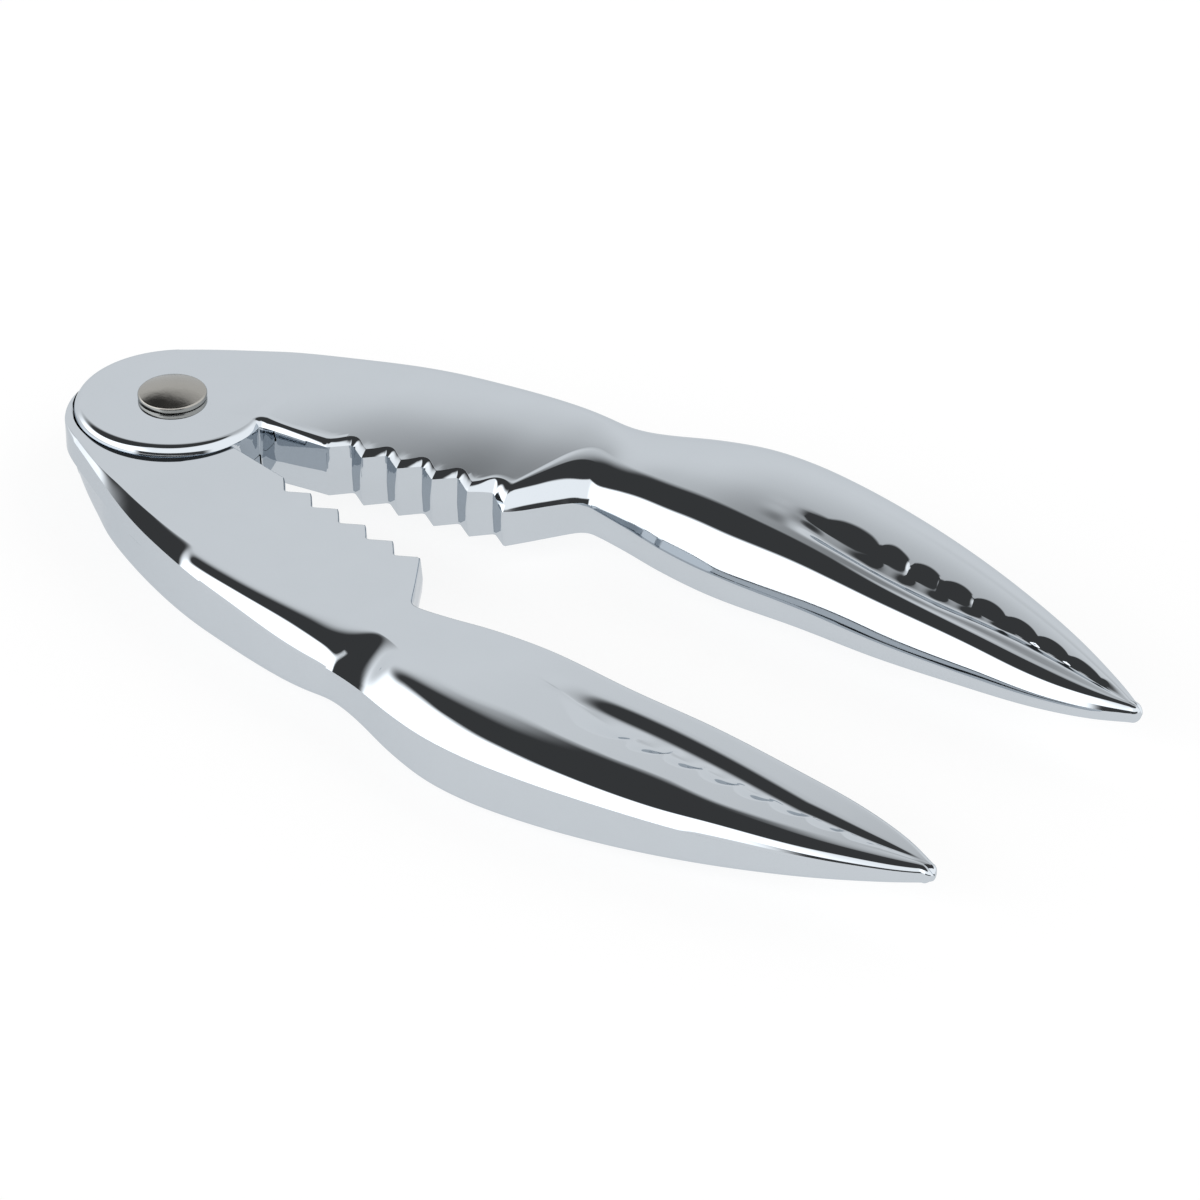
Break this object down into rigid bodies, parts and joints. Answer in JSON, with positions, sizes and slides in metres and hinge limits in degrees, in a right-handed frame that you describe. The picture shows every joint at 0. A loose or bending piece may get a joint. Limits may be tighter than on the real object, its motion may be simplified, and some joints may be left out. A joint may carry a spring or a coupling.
{
  "type": "nutcracker",
  "caption": "Hinged nut and shell cracker in the form of two claws: two toothed, plated cast arms turning on one domed rivet.",
  "frame": {"origin": "on the pivot axis, at the flat end of the rivet's tail, where the tool rests", "axes": "+X along the centre line between the arms towards the handle tips, +Z along the pivot axis towards the rivet's domed head"},
  "size_m": [0.1833, 0.0874, 0.0184],
  "materials": {
    "plated_casting": "bright chrome plating on a polished zinc casting",
    "rivet_steel": "satin, lightly turned",
    "washer_steel": "plain, rolled"
  },
  "bodies": {
    "lower_half": {"lower_arm": "plated_casting", "pivot_rivet": "rivet_steel", "rivet_washer": "washer_steel"},
    "upper_half": {"upper_arm": "plated_casting"}
  },
  "joints": [
    {"name": "arm_pivot", "type": "hinge", "parent": "lower_half", "child": "upper_half", "pos_m": [0, 0, 0.0092], "axis": [0, 0, 1], "range_deg": [-15.5, 70]}
  ]
}
